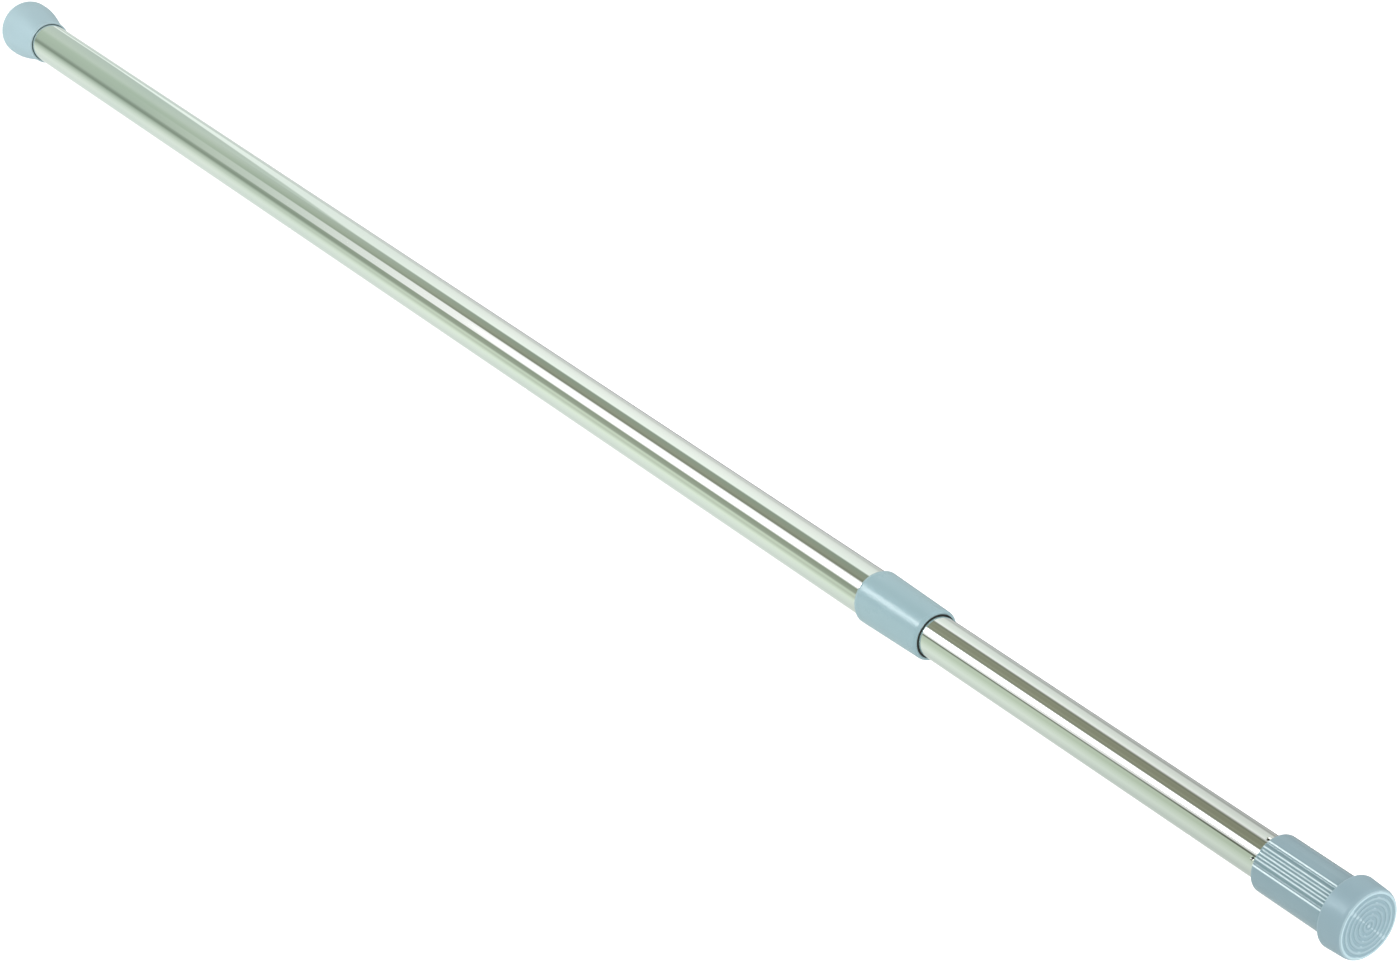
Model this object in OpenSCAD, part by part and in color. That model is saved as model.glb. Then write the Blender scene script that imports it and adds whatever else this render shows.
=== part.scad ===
// Telescopic doorway pull up bar: two chromed tubes, a twist lock inside them, and a screwed end
// whose grip sleeve winds the swivelling foot outwards.
// The bar lies along +X. The origin is the centre of the fixed foot's flat face.

/* [Tubes] */
// Outside diameter of the outer tube
outer_tube_d = 25.4; // [25:0.1:30]
// Wall thickness of the outer tube
outer_tube_wall = 1.2; // [1:0.1:1.4]
// Length of the outer tube
outer_tube_l = 980; // [700:5:1100]
// Gap all round between the inner tube and the outer tube's bore
tube_gap = 0.4; // [0.3:0.05:0.5]
// Wall thickness of the inner tube
inner_tube_wall = 1.2; // [1:0.1:1.5]
// Length of the inner tube
inner_tube_l = 700; // [560:5:760]
// Length of inner tube in view between the collar and the grip, as drawn
shown_l = 239.9; // [180:0.1:300]
// Length that stays inside the bar when the limit line comes out of the collar
limit_overlap = 165; // [120:1:200]
// Width of the limit line
limit_line_w = 1; // [0.6:0.1:2]
// Depth of the limit line
limit_line_depth = 0.2; // [0.1:0.05:0.3]

/* [Fixed foot] */
// Length of the rubber cup
cup_l = 37; // [32:0.5:50]
// How far the cup's rim stands out from the tube
cup_flare = 5.9; // [4.5:0.1:9]
// Radius of the rounded edge round the cup's face
cup_edge_r = 4.6; // [2:0.1:6]
// Distance from the face to where the cup starts to narrow
cup_rim_l = 8; // [7:0.5:12]
// Wall of the cup's lip round the tube
cup_lip_wall = 1.5; // [1.2:0.1:2.5]
// Radius that rounds the lip's outer edge
lip_round = 0.9; // [0.4:0.1:1]
// Gap all round between the tube and the relieved mouth of the lip
lip_relief = 0.3; // [0.2:0.05:0.3]
// Length of that relief
lip_relief_l = 2.5; // [1:0.5:5]
// Rubber between the pressure disc and the face
cup_floor = 4; // [3:0.1:6]
// Thickness of the steel pressure discs in both feet
pressure_disc_t = 2; // [1.5:0.1:3]

/* [Foot rings] */
// Raised rings on the adjustable foot's face
ring_count = 6; // [3:1:6]
// Spacing of the rings
ring_pitch = 2.65; // [2.2:0.05:2.7]
// Width of each ring's flat top
ring_w = 0.8; // [0.5:0.1:1]
// Radius of the flat pip inside the rings
ring_pip_r = 0.9; // [0.5:0.1:1.2]
// Depth of the troughs between the rings
ring_depth = 0.45; // [0.3:0.05:0.6]
// Draft of the rings' sides, across the whole depth
ring_draft = 0.15; // [0.05:0.05:0.2]

/* [Collar] */
// Length of the guide collar
collar_l = 48.6; // [40:0.1:70]
// Wall of the collar at its thick end, on the outer tube
collar_wall = 1.7; // [1.5:0.1:2.5]
// Wall of the collar at its mouth
collar_mouth_wall = 0.8; // [0.7:0.1:1.2]
// Length of the chamfer at the thick end
collar_chamfer_l = 2.2; // [1:0.1:4]
// Step from the tube up to the foot of that chamfer
collar_step = 0.5; // [0.3:0.1:0.8]
// Length of the chamfer at the mouth
mouth_chamfer_l = 1.6; // [0.5:0.1:2]
// Thickness of the lip that holds the guide bush in
collar_lip_t = 3; // [2:0.1:5]
// Gap all round between the lip and the inner tube
mouth_gap = 0.7; // [0.4:0.1:0.9]
// Length of the nylon guide bush between the outer tube and the lip
bush_l = 5; // [4:0.5:12]
// Distance of the bush's nose behind the collar's mouth
bush_nose_step = 0.3; // [0.1:0.1:1]
// Width of the slit in the guide bush
bush_slit = 1.5; // [1:0.1:3]

/* [Twist lock] */
// Length of the split lock sleeve
lock_sleeve_l = 35; // [32:0.5:45]
// Thickness of the lock sleeve's end wall
lock_wall_t = 6; // [4:0.5:8]
// Wall of the lock sleeve at its mouth
lock_mouth_wall = 2.2; // [1.8:0.1:2.6]
// Narrowing of the lock sleeve's cone, as a radius over a length
lock_taper = 0.1; // [0.08:0.01:0.12]
// Width of the slits in the lock sleeve
slit_w = 2; // [1.6:0.1:2.6]
// Solid length left between the slits and the end wall
slit_end_l = 4; // [3:0.5:6]
// Grooves round the outside of the lock sleeve
lock_groove_count = 5; // [3:1:6]
// Width of those grooves
lock_groove_w = 1; // [0.6:0.1:1.5]
// Depth of those grooves
lock_groove_depth = 0.4; // [0.2:0.05:0.6]
// Straight length of the wedge outside the lock sleeve
wedge_head_l = 10.8; // [8:0.1:14]
// Length of the wedge's cone
wedge_cone_l = 24.2; // [20:0.1:25]
// Length of the two keys that stop the wedge from turning
wedge_key_l = 18; // [12:0.5:20]
// Distance of the keys' tops below the lock sleeve's outside
wedge_key_depth = 0.8; // [0.5:0.1:1.2]
// Travel of the wedge over the whole twist, three quarters of a turn of an M8 thread
wedge_travel = 0.94; // [0.8:0.01:1]
// Play left between the cones at the end of the twist
wedge_play = 0.3; // [0.2:0.05:0.5]
// Diameter of the lock stud
stud_d = 8; // [6:1:10]
// Length of the stud that is screwed into the plug
stud_grip_l = 18; // [14:1:20]
// Length of stud in view past its stop nut
stud_tip_l = 3; // [1.5:0.5:6]
// Width across flats of the stop nut
stop_nut_af = 13; // [12:0.5:16]
// Height of the stop nut
stop_nut_h = 8; // [6:0.5:10]
// Length of the plug inside the inner tube
plug_l = 22; // [22:1:40]
// Thickness of the plug's flange
plug_flange_t = 3; // [2:0.5:5]
// Thickness of the washer between the plug and the lock sleeve
lock_washer_t = 1.5; // [1:0.1:2.5]
// Gap all round between that washer and the outer tube
lock_washer_gap = 1.5; // [0.5:0.1:3]

/* [Adjuster] */
// Wall of the grip sleeve round the inner tube
grip_wall = 3.4; // [3:0.1:5]
// Length of the grip sleeve's barrel
grip_l = 46.1; // [45:0.1:60]
// Depth of the grip's bore for the inner tube
grip_bore_l = 36.1; // [34:0.1:38]
// Radius that rounds the grip's rim
grip_edge_r = 1.9; // [0.5:0.1:2.2]
// Flutes side by side in each grip panel
flute_count = 4; // [3:1:6]
// Angle from one flute to the next
flute_pitch = 13; // [11:0.05:14]
// Angle of the first panel's middle from the top, as drawn
panel_turn = 46; // [0:1:179]
// Radius of a flute's section
flute_r = 1.8; // [1.4:0.05:2.2]
// Depth of the flutes
flute_depth = 0.7; // [0.4:0.05:0.9]
// Travel of the adjusting screw
screw_travel = 24; // [10:1:24]
// Diameter of the adjusting spindle
spindle_d = 12; // [10:0.5:13]
// Height of the spindle's head
spindle_head_h = 7; // [5:0.5:8]
// Length of the adjuster nut inside the inner tube
nut_l = 42; // [38:1:60]
// Thickness of the adjuster nut's flange
nut_flange_t = 3; // [2:0.5:4]
// Gap between the nut's flange and the spindle's head when wound right in
wound_in_gap = 0.5; // [0.3:0.1:1]
// Length of the stop collar on the spindle's tip
stop_collar_l = 6; // [5:0.5:10]
// Gap all round between the stop collar and the inner tube's bore
stop_collar_gap = 0.5; // [0.4:0.1:1]
// Length of spindle past the stop collar
spindle_tip_l = 1.5; // [0.5:0.5:4]
// Diameter of the stop collar's spring pin
stop_pin_d = 3; // [2:0.5:4]
// Diameter of the countersunk screw that holds the spindle in the grip
spindle_screw_d = 6; // [5:0.5:6]
// Length of that screw
spindle_screw_l = 20; // [18:1:24]
// Width across flats of the screw's socket
socket_af = 4; // [3:0.5:4]
// Depth of the screw's socket
socket_depth = 2.4; // [1.5:0.1:2.6]

/* [Dimples] */
// Dimples round the inner tube that stake the adjuster nut
dimple_count = 6; // [3:1:8]
// Distance from the end of the inner tube to the dimples
dimple_setback = 35.7; // [30:0.1:36]
// Angle of the first dimple from the top, as drawn
dimple_turn = 7; // [0:1:59]
// Radius of the punch that makes the dimples
dimple_punch_r = 1.5; // [1:0.1:2]
// Depth of the dimples
dimple_depth = 0.6; // [0.4:0.05:0.8]
// How much the punch thins the tube's wall
dimple_thinning = 0.2; // [0.1:0.05:0.3]

/* [Swivel foot] */
// How far the foot's widest part stands out from the grip
foot_step = 3.55; // [3:0.05:8]
// Radius that rounds the foot's back edge
foot_back_r = 1; // [0.5:0.1:2]
// How much the foot's side tapers in towards its face
foot_taper = 0.6; // [0:0.05:1]
// Radius of the crowned edge between the foot's side and its face
foot_crown_r = 4; // [3.5:0.5:8]
// Length of that edge
foot_crown_l = 2.3; // [1:0.1:2.5]
// Thickness of the foot's lip behind the grip's flange
foot_lip_t = 2.8; // [2:0.1:4]
// Rubber between the pressure disc and the face
foot_floor = 4.7; // [4:0.1:8]
// Gap all round between the grip's flange and the foot's hollow
foot_hollow_gap = 1; // [0.5:0.1:1.5]
// How far the neck that the foot turns on lies inside the grip's outside
neck_step = 3.05; // [2.6:0.05:3.5]
// How far the flange that holds the foot on lies inside the grip's outside
flange_step = 1.05; // [0.8:0.05:1.6]
// Thickness of that flange
flange_t = 2.5; // [2:0.1:4]
// Thickness of the nylon thrust washer
thrust_washer_t = 1.5; // [1:0.1:3]
// Hole in the thrust washer, clear of the screw's head
thrust_hole_d = 13.5; // [13:0.1:16]

/* [Fits] */
// Radial clearance of a shaft or tube that turns or slides in its bore
running_gap = 0.05; // [0.03:0.01:0.09]
// Clearance between faces that turn against each other
face_gap = 0.1; // [0.05:0.01:0.15]
// Clearance of a piece dropped into a pocket that it doesn't turn in
pocket_gap = 0.1; // [0.05:0.01:0.2]

/* [Hidden] */

$fn = 96;
arc_steps = 8;
flare_steps = 14;

// Tube diameters and the bumps that the dimples raise inside
outer_bore_d = outer_tube_d - 2 * outer_tube_wall;
inner_tube_d = outer_bore_d - 2 * tube_gap;
inner_bore_d = inner_tube_d - 2 * inner_tube_wall;
bump_r = dimple_punch_r + inner_tube_wall - dimple_thinning;

// Stations along the bar, from the fixed foot to the swivel foot
outer_x0 = cup_floor + pressure_disc_t;
outer_x1 = outer_x0 + outer_tube_l;
bush_x1 = outer_x1 + bush_l;
collar_x1 = bush_x1 + collar_lip_t;
collar_x0 = collar_x1 - collar_l;
grip_x0 = collar_x1 + shown_l;
grip_x1 = grip_x0 + grip_l;
head_x0 = grip_x0 + grip_bore_l;
head_x1 = head_x0 + spindle_head_h;
inner_x1 = head_x0 - wound_in_gap - nut_flange_t;
inner_x0 = inner_x1 - inner_tube_l;
dimple_x = inner_x1 - dimple_setback;
nut_x0 = inner_x1 - nut_l;
limit_x = inner_x0 + limit_overlap;

// Twist lock, counted back from the inner end of the inner tube
plug_x0 = inner_x0 - plug_flange_t;
washer_x0 = plug_x0 - lock_washer_t;
lock_washer_d = outer_bore_d - 2 * lock_washer_gap;
sleeve_x1 = washer_x0 - face_gap;
sleeve_x0 = sleeve_x1 - lock_sleeve_l;
sleeve_d = outer_bore_d - 2 * running_gap;
lock_mouth_d = sleeve_d - 2 * lock_mouth_wall;
cone_l = lock_sleeve_l - lock_wall_t;
cone_shift = wedge_travel + wedge_play;
wedge_shoulder_x = sleeve_x0 - cone_shift;
wedge_x0 = wedge_shoulder_x - wedge_head_l;
wedge_x1 = wedge_shoulder_x + wedge_cone_l;
stop_nut_x1 = wedge_x0 - wedge_play;
stop_nut_x0 = stop_nut_x1 - stop_nut_h;
stud_x0 = stop_nut_x0 - stud_tip_l;
stud_x1 = inner_x0 + stud_grip_l;

// Grip, spindle and its stop
grip_d = inner_tube_d + 2 * running_gap + 2 * grip_wall;
spindle_head_af = inner_tube_d * cos(30) - 2 * pocket_gap;
stop_collar_d = inner_bore_d - 2 * stop_collar_gap;
stop_collar_x1 = nut_x0 - screw_travel - wound_in_gap;
stop_collar_x0 = stop_collar_x1 - stop_collar_l;
stop_pin_x = stop_collar_x1 - stop_collar_l / 2;
spindle_x0 = stop_collar_x0 - spindle_tip_l;

// Neck, flange, thrust washer and swivel foot
neck_d = grip_d - 2 * neck_step;
flange_d = grip_d - 2 * flange_step;
foot_hollow_d = flange_d + 2 * foot_hollow_gap;
foot_d = grip_d + 2 * foot_step;
foot_rim_d = foot_d - 2 * foot_taper;
foot_x0 = grip_x1 + face_gap;
flange_x0 = foot_x0 + foot_lip_t + face_gap;
flange_x1 = flange_x0 + flange_t;
thrust_x0 = flange_x1 + face_gap / 2;
thrust_x1 = thrust_x0 + thrust_washer_t;
foot_disc_x0 = thrust_x1 + face_gap / 2;
foot_disc_x1 = foot_disc_x0 + pressure_disc_t;
foot_x1 = foot_disc_x1 + foot_floor;

// Colours
chrome_colour = [0.84, 0.86, 0.82];
zinc_colour = [0.72, 0.73, 0.75];
shell_colour = [0.62, 0.73, 0.77];
cup_colour = [0.69, 0.80, 0.83];
nylon_colour = [0.90, 0.90, 0.86];
bush_colour = [0.10, 0.11, 0.12];

// Points of a circular arc in an outline, from angle a0 to angle a1
function arc(centre, r, a0, a1) =
    [for (i = [0:arc_steps]) let (a = a0 + (a1 - a0) * i / arc_steps) centre + r * [cos(a), sin(a)]];

// Turns an outline of [radius, station] points round the bar's axis
module turned(outline) rotate([0, 90, 0]) rotate_extrude() polygon(outline);

// Round bar from station x0 to station x1
module rod(x0, x1, d, d_end) translate([x0, 0, 0]) rotate([0, 90, 0])
    cylinder(h = x1 - x0, d1 = d, d2 = is_undef(d_end) ? d : d_end);

// Hexagonal bar with two flats level, from station x0 to station x1
module hex_rod(x0, x1, across_flats) translate([x0, 0, 0]) rotate([0, 90, 0])
    cylinder(h = x1 - x0, d = across_flats / cos(30), $fn = 6);

// Pipe from station x0 to station x1
module pipe(x0, x1, d, bore) difference() {
    rod(x0, x1, d);
    rod(x0 - 1, x1 + 1, bore);
}

// Trough in a face at station x, between radii r0 and r1
module trough(x, side, r0, r1)
    turned([[r0 + ring_draft, x - side * ring_depth], [r1 - ring_draft, x - side * ring_depth],
            [r1, x], [r1, x + side], [r0, x + side], [r0, x]]);

// Troughs that leave concentric rings standing round a pip, in a face at station x
module ring_troughs(x, side, count) for (i = [1:count])
    trough(x, side, i == 1 ? ring_pip_r : (i - 1) * ring_pitch + ring_w / 2, i * ring_pitch - ring_w / 2);

// Spheres set round the inner tube where the punch strikes
module punches(r) for (i = [0:dimple_count - 1]) rotate([dimple_turn + 360 / dimple_count * i, 0, 0])
    translate([dimple_x, 0, inner_tube_d / 2 + dimple_punch_r - dimple_depth]) sphere(r = r, $fn = 48);

// Steel tube, chromed, that carries the fixed foot and the collar
module outer_tube() color(chrome_colour) pipe(outer_x0, outer_x1, outer_tube_d, outer_bore_d);

// Rubber cup of the fixed foot, flared from a thin lip on the tube to a wide face
module fixed_foot_cup() color(cup_colour) {
    rim_r = outer_tube_d / 2 + cup_flare;
    lip_r = outer_tube_d / 2 + cup_lip_wall;
    flare_l = cup_l - lip_round - cup_rim_l;
    flare = [for (i = [0:flare_steps - 1])
        [(rim_r + lip_r) / 2 + (rim_r - lip_r) / 2 * cos(180 * i / flare_steps),
         cup_rim_l + flare_l * i / flare_steps]];
    difference() {
        turned(concat([[0, 0]], arc([rim_r - cup_edge_r, cup_edge_r], cup_edge_r, -90, 0), flare,
                      arc([lip_r - lip_round, cup_l - lip_round], lip_round, 0, 90), [[0, cup_l]]));
        rod(cup_floor, cup_l + 1, outer_tube_d);
        rod(cup_l - lip_relief_l, cup_l + 1, outer_tube_d + 2 * lip_relief);
        ring_troughs(0, -1, ring_count - 2);
    }
}

// Steel disc in the bottom of the cup that spreads the tube's push over the rubber
module fixed_foot_disc() color(zinc_colour) rod(cup_floor, outer_x0, outer_tube_d - 2 * pocket_gap);

// Plastic collar on the mouth of the outer tube, with a lip that holds the guide bush
module guide_collar() color(shell_colour) {
    thick_r = outer_tube_d / 2 + collar_wall;
    mouth_r = outer_tube_d / 2 + collar_mouth_wall;
    difference() {
        turned([[0, collar_x0], [outer_tube_d / 2 + collar_step, collar_x0],
                [thick_r, collar_x0 + collar_chamfer_l], [mouth_r, collar_x1 - mouth_chamfer_l],
                [mouth_r - mouth_chamfer_l / 2, collar_x1], [0, collar_x1]]);
        rod(collar_x0 - 1, bush_x1, outer_tube_d);
        rod(collar_x0, collar_x1 + 1, inner_tube_d + 2 * mouth_gap);
    }
}

// Slit nylon ring that the inner tube slides in, with a thin nose that shows at the collar's mouth
module guide_bush() color(bush_colour) difference() {
    union() {
        rod(outer_x1, bush_x1, outer_tube_d);
        rod(outer_x1, collar_x1 - bush_nose_step, inner_tube_d + 2 * (mouth_gap - pocket_gap));
    }
    rod(outer_x1 - 1, collar_x1, inner_tube_d + 2 * running_gap);
    translate([outer_x1 - 1, -bush_slit / 2, -outer_tube_d])
        cube([collar_x1 - outer_x1 + 1, bush_slit, outer_tube_d]);
}

// Split nylon sleeve that the wedge spreads against the outer tube's bore
module lock_sleeve() color(nylon_colour) {
    slit_l = cone_l - slit_end_l;
    difference() {
        rod(sleeve_x0, sleeve_x1, sleeve_d);
        rod(sleeve_x0 - 1, sleeve_x0 + cone_l, lock_mouth_d + 2 * lock_taper,
            lock_mouth_d - 2 * lock_taper * cone_l);
        rod(sleeve_x0, sleeve_x1 + 1, stud_d + 2 * running_gap);
        for (turn = [0, 90]) rotate([turn, 0, 0])
            translate([sleeve_x0 - 1, -slit_w / 2, -sleeve_d]) cube([slit_l + 1, slit_w, 2 * sleeve_d]);
        for (i = [1:lock_groove_count]) {
            groove_x = sleeve_x0 + cone_l * i / (lock_groove_count + 1);
            difference() {
                rod(groove_x - lock_groove_w / 2, groove_x + lock_groove_w / 2, sleeve_d + 2);
                rod(groove_x - lock_groove_w, groove_x + lock_groove_w, sleeve_d - 2 * lock_groove_depth);
            }
        }
    }
}

// Steel wedge on the stud, kept from turning by two keys in the lock sleeve's slits
module lock_wedge() color(zinc_colour) {
    key_w = slit_w - 2 * running_gap;
    key_h = sleeve_d - 2 * wedge_key_depth;
    difference() {
        union() {
            rod(wedge_x0, wedge_shoulder_x, lock_mouth_d);
            rod(wedge_shoulder_x, wedge_x1, lock_mouth_d, lock_mouth_d - 2 * lock_taper * wedge_cone_l);
            translate([wedge_shoulder_x, -key_w / 2, -key_h / 2]) cube([wedge_key_l, key_w, key_h]);
        }
        rod(wedge_x0 - 1, wedge_x1 + 1, stud_d + 2 * running_gap);
    }
}

// Threaded stud fixed in the plug, which draws the wedge in as the inner tube is twisted
module lock_stud() color(zinc_colour) rod(stud_x0, stud_x1, stud_d);

// Nut on the stud's tip that keeps the wedge on
module lock_stop_nut() color(zinc_colour) difference() {
    hex_rod(stop_nut_x0, stop_nut_x1, stop_nut_af);
    rod(stop_nut_x0 - 1, stop_nut_x1 + 1, stud_d);
}

// Washer that the lock sleeve bears on
module lock_washer() color(zinc_colour) pipe(washer_x0, plug_x0, lock_washer_d, stud_d + 2 * pocket_gap);

// Plug pressed into the inner tube, flanged over the tube's end
module lock_plug() color(zinc_colour) difference() {
    union() {
        rod(plug_x0, inner_x0, inner_tube_d);
        rod(inner_x0, inner_x0 + plug_l, inner_bore_d);
    }
    rod(plug_x0 - 1, stud_x1, stud_d);
}

// Chromed steel tube that slides in the outer tube, punched round its end and scored with a limit line
module inner_tube() color(chrome_colour) difference() {
    union() {
        pipe(inner_x0, inner_x1, inner_tube_d, inner_bore_d);
        intersection() {
            punches(bump_r);
            rod(dimple_x - bump_r, dimple_x + bump_r, inner_bore_d + inner_tube_wall);
        }
    }
    punches(dimple_punch_r);
    difference() {
        rod(limit_x - limit_line_w / 2, limit_x + limit_line_w / 2, inner_tube_d + 2);
        rod(limit_x - limit_line_w, limit_x + limit_line_w, inner_tube_d - 2 * limit_line_depth);
    }
}

// Flanged nut staked in the end of the inner tube
module adjuster_nut() color(zinc_colour) difference() {
    union() {
        rod(nut_x0, inner_x1, inner_bore_d);
        rod(inner_x1, inner_x1 + nut_flange_t, inner_tube_d);
    }
    rod(nut_x0 - 1, head_x0, spindle_d + 2 * running_gap);
    punches(bump_r);
}

// Plastic grip that is turned by hand: bore for the inner tube, hexagonal pocket for the spindle's
// head, two fluted panels, and the neck and flange that carry the swivel foot
module grip_sleeve() color(shell_colour) {
    screw_hole_d = spindle_screw_d + 2 * pocket_gap;
    flute_centre = grip_d / 2 + flute_r - flute_depth;
    difference() {
        turned(concat([[0, grip_x0]],
                      arc([grip_d / 2 - grip_edge_r, grip_x0 + grip_edge_r], grip_edge_r, -90, 0),
                      [[grip_d / 2, grip_x1], [neck_d / 2, grip_x1], [neck_d / 2, flange_x0],
                       [flange_d / 2, flange_x0], [flange_d / 2, flange_x1], [0, flange_x1]]));
        rod(grip_x0 - 1, head_x0, inner_tube_d + 2 * running_gap);
        hex_rod(head_x0 - 1, head_x1, spindle_head_af + 2 * pocket_gap);
        rod(head_x0, flange_x1 + 1, screw_hole_d);
        rod(flange_x1 - spindle_screw_d / 2, flange_x1 + 1, spindle_screw_d, 2 * spindle_screw_d + 2);
        for (panel = [0, 180], i = [0:flute_count - 1])
            rotate([panel + panel_turn + flute_pitch * (i - (flute_count - 1) / 2), 0, 0])
                translate([0, 0, flute_centre]) rod(grip_x0 - 1, grip_x1 + 1, 2 * flute_r);
    }
}

// Adjusting spindle: screw with a hexagonal head, drilled for its screw and its stop pin
module spindle() color(zinc_colour) difference() {
    union() {
        rod(spindle_x0, head_x0, spindle_d);
        hex_rod(head_x0, head_x1, spindle_head_af);
    }
    rod(flange_x1 - spindle_screw_l, head_x1 + 1, spindle_screw_d);
    stop_pin_hole();
}

// Countersunk screw through the grip's end wall into the spindle's head
module spindle_screw() color(zinc_colour) difference() {
    union() {
        rod(flange_x1 - spindle_screw_l, flange_x1 - spindle_screw_d / 2, spindle_screw_d);
        rod(flange_x1 - spindle_screw_d / 2, flange_x1, spindle_screw_d, 2 * spindle_screw_d);
    }
    hex_rod(flange_x1 - socket_depth, flange_x1 + 1, socket_af);
}

// Cross hole for the stop collar's pin
module stop_pin_hole() translate([stop_pin_x, 0, -stop_collar_d]) cylinder(h = 2 * stop_collar_d, d = stop_pin_d);

// Collar pinned to the spindle's tip, which stops the screw at the end of its travel
module spindle_stop_collar() color(zinc_colour) difference() {
    pipe(stop_collar_x0, stop_collar_x1, stop_collar_d, spindle_d);
    stop_pin_hole();
}

// Spring pin through the stop collar and the spindle
module spindle_stop_pin() color(zinc_colour) {
    pin_l = stop_collar_d - 2 * stop_collar_gap;
    translate([stop_pin_x, 0, -pin_l / 2]) cylinder(h = pin_l, d = stop_pin_d);
}

// Nylon washer between the grip's flange and the foot's disc
module thrust_washer() color(nylon_colour)
    pipe(thrust_x0, thrust_x1, foot_hollow_d - 2 * face_gap, thrust_hole_d);

// Steel disc that spreads the screw's push over the swivel foot
module foot_disc() color(zinc_colour) rod(foot_disc_x0, foot_disc_x1, foot_hollow_d - 2 * pocket_gap);

// Rubber foot, snapped over the grip's flange, with a crowned edge and rings raised on its face
module foot_cap() color(shell_colour) {
    crown_x0 = foot_x1 - ring_depth - foot_crown_l;
    crown_turn = asin(foot_crown_l / foot_crown_r);
    crown_end_r = foot_rim_d / 2 - foot_crown_r * (1 - cos(crown_turn));
    difference() {
        turned(concat([[0, foot_x0]],
                      arc([foot_d / 2 - foot_back_r, foot_x0 + foot_back_r], foot_back_r, -90, 0),
                      arc([foot_rim_d / 2 - foot_crown_r, crown_x0], foot_crown_r, 0, crown_turn),
                      [[crown_end_r, foot_x1], [0, foot_x1]]));
        rod(foot_x0 - 1, foot_disc_x0, neck_d + 2 * running_gap);
        rod(foot_x0 + foot_lip_t, foot_disc_x1, foot_hollow_d);
        ring_troughs(foot_x1, 1, ring_count);
        trough(foot_x1, 1, ring_count * ring_pitch + ring_w / 2, foot_d / 2);
    }
}

outer_tube();
fixed_foot_cup();
fixed_foot_disc();
guide_collar();
guide_bush();
lock_sleeve();
lock_wedge();
lock_stud();
lock_stop_nut();
lock_washer();
lock_plug();
inner_tube();
adjuster_nut();
grip_sleeve();
spindle();
spindle_screw();
spindle_stop_collar();
spindle_stop_pin();
thrust_washer();
foot_disc();
foot_cap();
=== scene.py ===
# Telescopic doorway pull up bar: two chromed tubes that slide and lock one in the other, a rubber
# cup on one end, and on the other a fluted grip that winds a swivelling rubber foot outwards.
# It follows the bar as it is put together, from the fixed foot to the swivel foot. Lengths are in metres.

import math

import bmesh
import bpy
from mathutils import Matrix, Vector


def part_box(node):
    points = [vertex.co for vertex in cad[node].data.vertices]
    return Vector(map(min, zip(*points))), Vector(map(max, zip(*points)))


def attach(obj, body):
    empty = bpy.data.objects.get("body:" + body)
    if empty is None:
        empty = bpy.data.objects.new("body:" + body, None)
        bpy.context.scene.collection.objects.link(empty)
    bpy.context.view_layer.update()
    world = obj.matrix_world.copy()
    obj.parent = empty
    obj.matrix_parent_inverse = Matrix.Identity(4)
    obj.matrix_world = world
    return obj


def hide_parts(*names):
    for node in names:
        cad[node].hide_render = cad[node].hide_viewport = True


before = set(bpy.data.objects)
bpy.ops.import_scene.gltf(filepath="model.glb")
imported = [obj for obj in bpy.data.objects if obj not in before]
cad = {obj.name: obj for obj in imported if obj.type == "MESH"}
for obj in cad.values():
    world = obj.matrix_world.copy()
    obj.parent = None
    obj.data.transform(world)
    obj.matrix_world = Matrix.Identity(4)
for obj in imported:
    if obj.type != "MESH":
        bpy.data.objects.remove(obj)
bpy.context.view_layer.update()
mm = 0.001

# ---- Outer tube -------------------------------------------------------------------------------
# Drawn steel tube, 25.4 mm across, bright chromed and wiped by hand. The plate is close to a mirror,
# with faint rubbing streaks along the tube and a slight change of tone from the steel under it.


def add_node(tree, kind, inputs=None, **settings):
    """One node of a tree, with its settings, and with values or links on its inputs."""
    made = tree.nodes.new(kind)
    for key, value in settings.items():
        setattr(made, key, value)
    for key, value in (inputs or {}).items():
        if isinstance(value, bpy.types.NodeSocket):
            tree.links.new(value, made.inputs[key])
        else:
            made.inputs[key].default_value = value
    return made


def maths(tree, operation, *values):
    """The result of one step of arithmetic on numbers or sockets."""
    return add_node(tree, "ShaderNodeMath", dict(enumerate(values)), operation=operation).outputs[0]


def fade(tree, value, start, end, low=0, high=1, smooth=False):
    """A number that goes from low to high while a value goes from start to end."""
    ends = {"Value": value, "From Min": start, "From Max": end, "To Min": low, "To Max": high}
    kind = "SMOOTHSTEP" if smooth else "LINEAR"
    return add_node(tree, "ShaderNodeMapRange", ends, interpolation_type=kind).outputs["Result"]


def tone(tree, colour, other, mask):
    """A colour that goes to another by a mask. Either may be the output of a node."""
    mixed = add_node(tree, "ShaderNodeMix", {"Factor": mask}, data_type="RGBA")
    for key, value in (("A", colour), ("B", other)):
        if isinstance(value, tuple):
            mixed.inputs[key].default_value = (*value, 1)
        else:
            tree.links.new(value, mixed.inputs[key])
    return mixed.outputs["Result"]


def new_group(name, inputs, outputs):
    """A shader node group with these named inputs and outputs."""
    tree = bpy.data.node_groups.new(name, "ShaderNodeTree")
    for label, value in inputs.items():
        socket = tree.interface.new_socket(label, in_out="INPUT", socket_type="NodeSocketFloat")
        socket.default_value = value
    for label in outputs:
        tree.interface.new_socket(label, in_out="OUTPUT", socket_type="NodeSocketFloat")
    return tree, tree.nodes.new("NodeGroupInput"), tree.nodes.new("NodeGroupOutput")


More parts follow.
